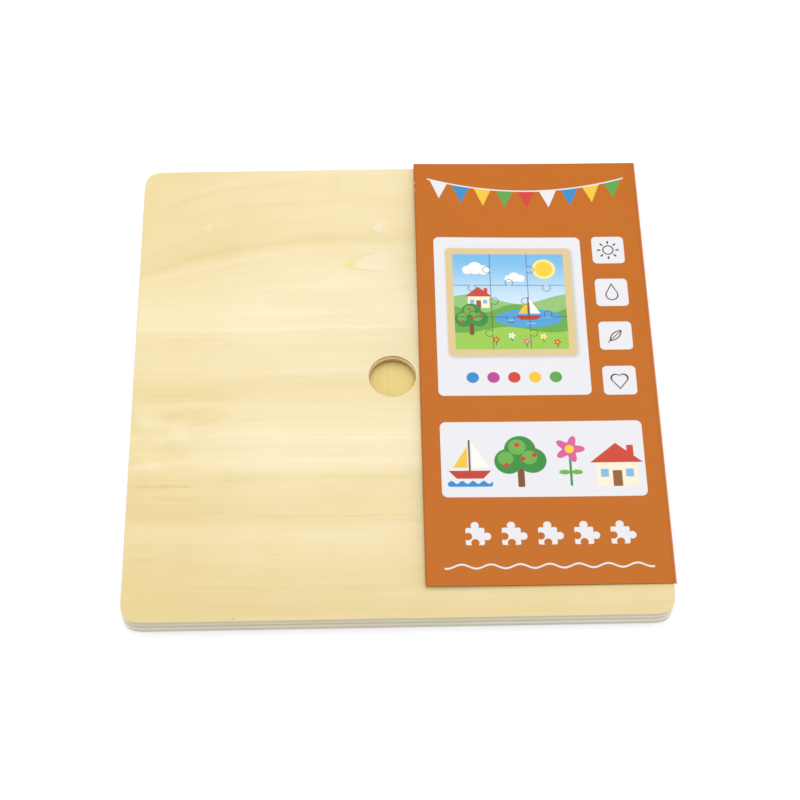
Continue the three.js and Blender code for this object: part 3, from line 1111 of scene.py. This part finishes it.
def tile_outline(row, column, inset):
    """A tile's outline, counter-clockwise and set in by inset: each side in its own frame, then turned."""
    kind = 1 if (row + column) % 2 == 0 else -1
    last = len(TILE_ROWS) - 1
    half = TILE_PITCH / 2
    radius = TILE_CORNER - inset
    joined_sides = (row > 0, column < last, row < last, column > 0)
    gaps = [(SAW_KERF / 2 if meets else RIM_CLEARANCE) + inset for meets in joined_sides]
    sides = []
    for turn, (meets, gap) in enumerate(zip(joined_sides, gaps, strict=True)):
        corner_x = half - gaps[(turn + 1) % len(gaps)] - radius
        corner = arc(corner_x, gap + radius, radius, -math.pi / 2, 0, ROUNDING_STEPS)
        bulge = kind if turn % 2 else -kind
        path = np.concatenate([knob_outline(gap, bulge), corner]) if meets else corner
        sides.append((path - np.array([0, half])) @ np.linalg.matrix_power(QUARTER_TURN, turn))
    middle = np.array([column + 0.5, row + 0.5]) * TILE_PITCH - OPENING_HALF
    return np.concatenate(sides) + middle


def edge_profile(low, high, rounding):
    """Insets and heights up a sheet's edge: a quarter circle, the wall, and a quarter circle."""
    angle = np.linspace(0, math.pi / 2, ROUNDING_STEPS + 1)
    inset = rounding * np.concatenate([1 - np.sin(angle), 1 - np.cos(angle)])
    rise = rounding * (1 - np.cos(angle))
    drop = rounding * (1 - np.sin(angle))
    return inset, np.concatenate([low + rise, high - drop])


def wall_grid(outline_at, inset, height):
    """The edge profile carried along an outline: row after row of the outline, set in and lifted."""
    outlines = np.stack([outline_at(each) for each in inset])
    lifted = np.broadcast_to(height[:, None, None], (*outlines.shape[:2], 1))
    return np.concatenate([outlines, lifted], axis=2)


def ring_quads(first_ring, second_ring):
    """Faces between two closed rings of points, given by their numbers in order."""
    return np.stack([first_ring, np.roll(first_ring, -1), np.roll(second_ring, -1), second_ring], axis=1)


def wall_quads(rows, count, first):
    """Faces between each ring of a wall and the next, and the numbers of its lowest and highest rings."""
    rings = first + np.arange(rows * count).reshape(rows, count)
    quads = [ring_quads(lower, upper) for lower, upper in zip(rings[:-1], rings[1:], strict=True)]
    return np.concatenate(quads), rings[0], rings[-1]


def new_piece(name, vertices, face_groups, materials):
    """An object at the origin from groups of (faces, material slot, smooth or not)."""
    faces = [face for group, _, _ in face_groups for face in group]
    slots = np.concatenate([np.full(len(group), slot) for group, slot, _ in face_groups])
    smooth = np.concatenate([np.full(len(group), soft) for group, _, soft in face_groups])
    mesh = bpy.data.meshes.new(name)
    mesh.from_pydata(vertices.tolist(), [], faces)
    for material in materials:
        mesh.materials.append(material)
    mesh.polygons.foreach_set("material_index", slots.astype(np.int32))
    mesh.polygons.foreach_set("use_smooth", smooth.astype(bool))
    mesh.set_sharp_from_angle(angle=SHARP_ANGLE)
    mesh.update()
    piece = bpy.data.objects.new(name, mesh)
    bpy.context.scene.collection.objects.link(piece)
    return piece


def sheet_piece(name, outline_at, hole_at, low, high, rounding, materials):
    """A sheet with rounded edges: a profile carried round the outline, and round the hole if it has one."""
    inset, height = edge_profile(low, high, rounding)
    outer = wall_grid(outline_at, inset, height)
    rows, count, _ = outer.shape
    walls, bottom, top = wall_quads(rows, count, 0)
    vertices = outer.reshape(-1, 3)
    groups = [(walls.tolist(), EDGE_FACES, True)]
    if hole_at is None:
        upper = [top.tolist()]
        lower = [bottom[::-1].tolist()]
    else:
        inner = wall_grid(hole_at, inset, height)
        hole_walls, hole_bottom, hole_top = wall_quads(rows, count, len(vertices))
        vertices = np.concatenate([vertices, inner.reshape(-1, 3)])
        upper = ring_quads(top, hole_top).tolist()
        lower = ring_quads(bottom, hole_bottom)[:, ::-1].tolist()
        groups.append((hole_walls[:, ::-1].tolist(), HOLE_FACES, True))
    groups += [(upper, UPPER_FACES, False), (lower, LOWER_FACES, False)]
    return new_piece(name, vertices, groups, materials)


def board_outline(inset):
    """The board's square, set in: the corners' reach shrinks with the inset, so that they stay parallel."""
    return rounded_square(BOARD_HALF - inset, CORNER_REACH - inset, CORNER_POWER)


def finger_hole(inset):
    """A circle whose points lie in the same directions as those of the board's outline."""
    outline = board_outline(0)
    directions = outline / np.linalg.norm(outline, axis=1, keepdims=True)
    return np.array(FINGER_HOLE_MIDDLE) + directions * (FINGER_HOLE_RADIUS + HOLE_RIM_SHARE * inset)


def frame_opening(inset):
    """The tray's square, set out into the frame: its corners' radius grows with the inset."""
    return rounded_square(OPENING_HALF + inset, TILE_CORNER + RIM_CLEARANCE + inset)


def settle(piece, body, node):
    """Puts a finished piece on its body, in place of its CAD node."""
    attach(piece, body)
    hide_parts(node)


class PUZZLE_OT_make_backing(bpy.types.Operator):
    """Make the backing board with its finger hole"""

    bl_idname = "puzzle.make_backing"
    bl_label = "Backing board"

    def execute(self, context):
        looks = context.scene.puzzle_wood
        low, high = BACK_LOW.z, BACK_HIGH.z
        plies = (looks.grey_ply[:], looks.core[:], looks.face_ply[:])
        # The hole's wall carries painted shade: its foot line and its darker lower ply
        hole_plies = (looks.hole_shade_and_rim[:], looks.hole_shaded_ply[:], looks.hole_upper[:], looks.hole_shade_and_rim[:])
        materials = [
            plywood_edge("backing_edge", low, high, BACKING_PLIES, plies, looks, 1.0),
            back_veneer(looks),
            plain_veneer("tray_floor", looks.pale[:], looks.dark[:], 14.0),
            plywood_edge("finger_hole", low, high, HOLE_PLIES, hole_plies, looks, 2.0),
        ]
        piece = sheet_piece("backing", board_outline, finger_hole, low, high, looks.rounding, materials)
        settle(piece, "board", "backing_board")
        return {"FINISHED"}


class PUZZLE_OT_make_frame(bpy.types.Operator):
    """Make the frame that holds the tiles"""

    bl_idname = "puzzle.make_frame"
    bl_label = "Frame"

    def execute(self, context):
        looks = context.scene.puzzle_wood
        low, high = FRAME_LOW.z, FRAME_HIGH.z
        # The lowest ply's colour holds painted bounce light from the floor
        plies = (looks.floor_lit_ply[:], looks.core[:], looks.grey_ply[:])
        edge = plywood_edge("frame_edge", low, high, FRAME_PLIES, plies, looks, 21.0)
        materials = [
            edge,
            plain_veneer("frame_back", looks.pale[:], looks.dark[:], 23.0),
            plain_veneer("frame_face", looks.pale[:], looks.dark[:], 25.0),
            edge,
        ]
        piece = sheet_piece("rim", board_outline, frame_opening, low, high, looks.rounding, materials)
        settle(piece, "board", "frame")
        return {"FINISHED"}


class PUZZLE_OT_make_tiles(bpy.types.Operator):
    """Make the jigsaw tiles with the picture on their faces"""

    bl_idname = "puzzle.make_tiles"
    bl_label = "Jigsaw tiles"

    def execute(self, context):
        looks = context.scene.puzzle_wood
        low, high = TILE_LOW.z, TILE_HIGH.z
        plies = (looks.grey_ply[:], looks.core[:], looks.face_ply[:])
        materials = [
            plywood_edge("tile_edge", low, high, TILE_PLIES, plies, looks, 33.0),
            plain_veneer("tile_back", looks.tile_pale[:], looks.tile_dark[:], 35.0, along_y=True),
            tile_picture(),
        ]
        for row, row_name in enumerate(TILE_ROWS):
            for column, column_name in enumerate(TILE_COLUMNS):
                node = f"tile_{row_name}_{column_name}"
                name = f"jigsaw_{row_name}_{column_name}"
                outline_at = partial(tile_outline, row, column)
                piece = sheet_piece(name, outline_at, None, low, high, looks.rounding, materials)
                settle(piece, node, node)
        return {"FINISHED"}


def card_section():
    """The card's outer and inner lines across the fold: the flap, an arc, the spine, an arc and the panel.
    Also each point's share of the lift, and the number of the panel's first point."""
    fold_x = CARD_HIGH.x - CARD_FOLD_RADIUS
    top = BACK_HIGH.z + CARD_CLEARANCE + CARD_THICKNESS
    flap_x = np.linspace(CARD_HIGH.x - CARD_FLAP_WIDTH, fold_x, ROUNDING_STEPS)[:-1]
    run = fold_x - CARD_LOW.x
    share = np.linspace(0, 1, CARD_ACROSS + 1)[1:]
    lines = []
    for depth in (0, CARD_THICKNESS):
        radius = CARD_FOLD_RADIUS - depth
        flap = np.column_stack([flap_x, np.full(len(flap_x), depth)])
        lower_fold = arc(fold_x, CARD_FOLD_RADIUS, radius, -math.pi / 2, 0, ROUNDING_STEPS)
        upper_fold = arc(fold_x, top - CARD_FOLD_RADIUS, radius, 0, math.pi / 2, ROUNDING_STEPS)
        panel = np.column_stack([fold_x - run * share, np.full(CARD_ACROSS, top - depth)])
        lines.append(np.concatenate([flap, lower_fold, upper_fold, panel]))
    before = len(lines[0]) - CARD_ACROSS
    lift = np.concatenate([np.zeros(before), share])
    return lines, lift, before


def card_grid(line, lift, looks):
    """A line of the section carried along Y. Its free side lifts with the square of its share, and in
    bell-shaped waves. Its free corners round off, and its ends stand back with the depth below the fold."""
    angle = np.linspace(0, math.pi / 2, ROUNDING_STEPS + 1)
    near_step = looks.corner * (1 - np.cos(angle))
    near_inset = looks.corner * (1 - np.sin(angle))
    length = CARD_HIGH.y - CARD_LOW.y
    between = np.linspace(looks.corner, length - looks.corner, CARD_ALONG + 1)[1:-1]
    along = np.concatenate([near_step, between, length - near_step[::-1]])
    inset = np.concatenate([near_inset, np.zeros(len(between)), near_inset[::-1]])
    share = lift[:, None]
    reach = along / length
    rise = looks.lift_near + (looks.lift_far - looks.lift_near) * reach
    for middle, spread, height in CARD_WAVES:
        rise = rise + height * np.exp(-(((reach - middle) / spread) ** 2))
    x = line[:, :1] + share * inset
    z = line[:, 1:] + share**2 * rise
    half = length / 2
    fold_height = BACK_HIGH.z + CARD_CLEARANCE + CARD_THICKNESS - CARD_FOLD_RADIUS
    setback = CARD_END_SETBACK * np.maximum(0, 1 - line[:, 1:] / fold_height)
    y = CARD_LOW.y + half + (along - half) * (1 - setback / half)
    return np.stack([x, y, np.broadcast_to(z, x.shape)], axis=2)


def strip_quads(first, second):
    """Faces between two open lines of points, given by their numbers in order."""
    return np.stack([first[:-1], first[1:], second[1:], second[:-1]], axis=-1).reshape(-1, 4)


class PUZZLE_OT_make_card(bpy.types.Operator):
    """Make the printed card that is folded round the board's side"""

    bl_idname = "puzzle.make_card"
    bl_label = "Packaging card"

    def execute(self, context):
        looks = context.scene.puzzle_card
        (outer_line, inner_line), lift, before = card_section()
        outer = card_grid(outer_line, lift, looks)
        inner = card_grid(inner_line, lift, looks)
        across, along, _ = outer.shape
        out = np.arange(across * along).reshape(across, along)
        into = out + out.size
        outside = [strip_quads(out[i], out[i + 1]) for i in range(across - 1)]
        inside = [strip_quads(into[i + 1], into[i]) for i in range(across - 1)]
        cut = [
            strip_quads(out[:, 0], into[:, 0]),
            strip_quads(into[:, -1], out[:, -1]),
            strip_quads(into[0], out[0]),
            strip_quads(out[-1], into[-1]),
        ]
        groups = [
            (np.concatenate(outside[before - 1 :]).tolist(), PRINTED_FACES, True),
            (np.concatenate(outside[: before - 1]).tolist(), PLAIN_FACES, True),
            (np.concatenate(inside).tolist(), INSIDE_FACES, True),
            (np.concatenate(cut).tolist(), CUT_FACES, False),
        ]
        materials = [
            card_print(looks),
            card_plain("card_ground", looks.ground[:], speck=0.15, shift=3.0, worn=looks.inside[:]),
            card_plain("card_inside", looks.inside[:], speck=0.25, shift=5.0),
            # The cut faces' colour is partly painted shade
            card_plain("card_cut", looks.cut[:], speck=0.4, shift=7.0),
        ]
        vertices = np.concatenate([outer.reshape(-1, 3), inner.reshape(-1, 3)])
        piece = new_piece("folded_card", vertices, groups, materials)
        settle(piece, "card", "card_sleeve")
        return {"FINISHED"}


# The stage, in metres: where the camera aims on the board's back face, the floor's reach, and the lamp
CAMERA_TARGET = (2.60 * MM, -11.02 * MM)
FLOOR_HALF = 1.2
LAMP_PLACE = (0.15, 0.35, 1.24)
LAMP_SIDE = 1.2
# The camera's sensor, in millimetres as Blender takes it
SENSOR_WIDTH = 36.0
# How far the world's horizon blurs up and down, and how narrow the light from the sides is
HORIZON_BLUR = 0.2
SIDES_POWER = 4.0


def make_camera(looks):
    """The camera on its ray back from the target: two angles, a distance, and a roll about the ray."""
    azimuth, elevation, roll = (math.radians(a) for a in (looks.azimuth, looks.elevation, looks.roll))
    level = math.cos(elevation)
    back = Vector((math.sin(azimuth) * level, -math.cos(azimuth) * level, math.sin(elevation)))
    right = Vector((math.cos(azimuth), math.sin(azimuth), 0))
    right = right * math.cos(roll) + back.cross(right) * math.sin(roll)
    turn = Matrix((right, back.cross(right), back)).transposed()
    data = bpy.data.cameras.new("camera")
    data.sensor_width = SENSOR_WIDTH
    data.lens = looks.lens
    camera = bpy.data.objects.new("camera", data)
    target = Vector((*CAMERA_TARGET, BACK_HIGH.z))
    camera.matrix_world = Matrix.Translation(target + back * looks.distance) @ turn.to_4x4()
    bpy.context.scene.collection.objects.link(camera)
    bpy.context.scene.camera = camera


def seen_directly(shade):
    """1 on rays that show the surface to the eye: straight, by reflection or through glass."""
    path = shade.node("ShaderNodeLightPath").socket.node
    kinds = ("Camera", "Glossy", "Transmission")
    return greatest([Shade(shade.tree, path.outputs[f"Is {kind} Ray"]) for kind in kinds])


def make_world(looks):
    """Light from above and below, with more from the two sides, and a white background to the eye."""
    world = bpy.data.worlds.new("studio")
    world.use_nodes = True
    tree = world.node_tree
    start = Shade(tree)
    x, _, height = start.node("ShaderNodeTexCoord", output="Generated").parts()
    level = ramp(height, -HORIZON_BLUR, HORIZON_BLUR) * (looks.sky - looks.ground) + looks.ground
    level = level + x.math("POWER", SIDES_POWER) * looks.sides
    seen = seen_directly(start)
    strength = seen * (1 - level) + level
    tree.links.new(strength.socket, tree.nodes["Background"].inputs["Strength"])
    tree.nodes["Background"].inputs["Color"].default_value = (1, 1, 1, 1)
    bpy.context.scene.world = world


def make_floor(looks):
    """A white floor that takes shadows. Only the eye sees it, and only from above."""
    corners = FLOOR_HALF * np.array([[-1, -1, 0], [1, -1, 0], [1, 1, 0], [-1, 1, 0]])
    material = bpy.data.materials.new("floor_white")
    material.use_nodes = True
    tree = material.node_tree
    tree.nodes.remove(tree.nodes["Principled BSDF"])
    start = Shade(tree)
    diffuse = start.node("ShaderNodeBsdfDiffuse", None, {"Color": looks.floor[:]})
    glow = start.node("ShaderNodeEmission", None, {"Color": (1.0, 1.0, 1.0), "Strength": looks.glow})
    lit = start.node("ShaderNodeAddShader", None, {0: diffuse, 1: glow})
    clear = start.node("ShaderNodeBsdfTransparent")
    front = 1 - start.node("ShaderNodeNewGeometry", output="Backfacing")
    mixed = start.node("ShaderNodeMixShader", None, {0: seen_directly(start) * front, 1: clear, 2: lit})
    tree.links.new(mixed.socket, tree.nodes["Material Output"].inputs["Surface"])
    floor = new_piece("floor", corners, [([[0, 1, 2, 3]], 0, False)], [material])


def make_lamp(looks):
    """One wide soft lamp, above the board, behind it and to its right."""
    data = bpy.data.lights.new("key", "AREA")
    data.shape = "SQUARE"
    data.size = LAMP_SIDE
    data.energy = looks.key
    lamp = bpy.data.objects.new("key", data)
    place = Vector(LAMP_PLACE)
    lamp.matrix_world = Matrix.Translation(place) @ place.to_track_quat("Z", "Y").to_matrix().to_4x4()
    bpy.context.scene.collection.objects.link(lamp)


class PUZZLE_OT_make_stage(bpy.types.Operator):
    """Make the floor, the light and the camera"""

    bl_idname = "puzzle.make_stage"
    bl_label = "Stage"

    def execute(self, context):
        looks = context.scene.puzzle_stage
        context.scene.view_settings.view_transform = "Standard"
        make_camera(looks)
        make_world(looks)
        make_floor(looks)
        make_lamp(looks)
        return {"FINISHED"}


OPERATORS = (
    PUZZLE_OT_make_stage,
    PUZZLE_OT_make_backing,
    PUZZLE_OT_make_frame,
    PUZZLE_OT_make_tiles,
    PUZZLE_OT_make_card,
)
SETTINGS = {"puzzle_wood": WoodLooks, "puzzle_card": CardLooks, "puzzle_stage": StageLooks}


class PUZZLE_PT_panel(bpy.types.Panel):
    """Lists the settings and the steps that build the puzzle"""

    bl_idname = "PUZZLE_PT_panel"
    bl_label = "Inlay puzzle"
    bl_space_type = "VIEW_3D"
    bl_region_type = "UI"
    bl_category = "Puzzle"

    def draw(self, context):
        for name, settings in SETTINGS.items():
            column = self.layout.column()
            for setting in settings.__annotations__:
                column.prop(getattr(context.scene, name), setting)
        for operator in OPERATORS:
            self.layout.operator(operator.bl_idname)


CLASSES = (*SETTINGS.values(), *OPERATORS, PUZZLE_PT_panel)


def register():
    for each in CLASSES:
        bpy.utils.register_class(each)
    for name, settings in SETTINGS.items():
        setattr(bpy.types.Scene, name, PointerProperty(type=settings))


def unregister():
    for name in SETTINGS:
        delattr(bpy.types.Scene, name)
    for each in reversed(CLASSES):
        bpy.utils.unregister_class(each)


def main():
    register()
    bpy.ops.puzzle.make_stage()
    bpy.ops.puzzle.make_backing()
    bpy.ops.puzzle.make_frame()
    bpy.ops.puzzle.make_tiles()
    bpy.ops.puzzle.make_card()


if __name__ == "__main__":
    main()
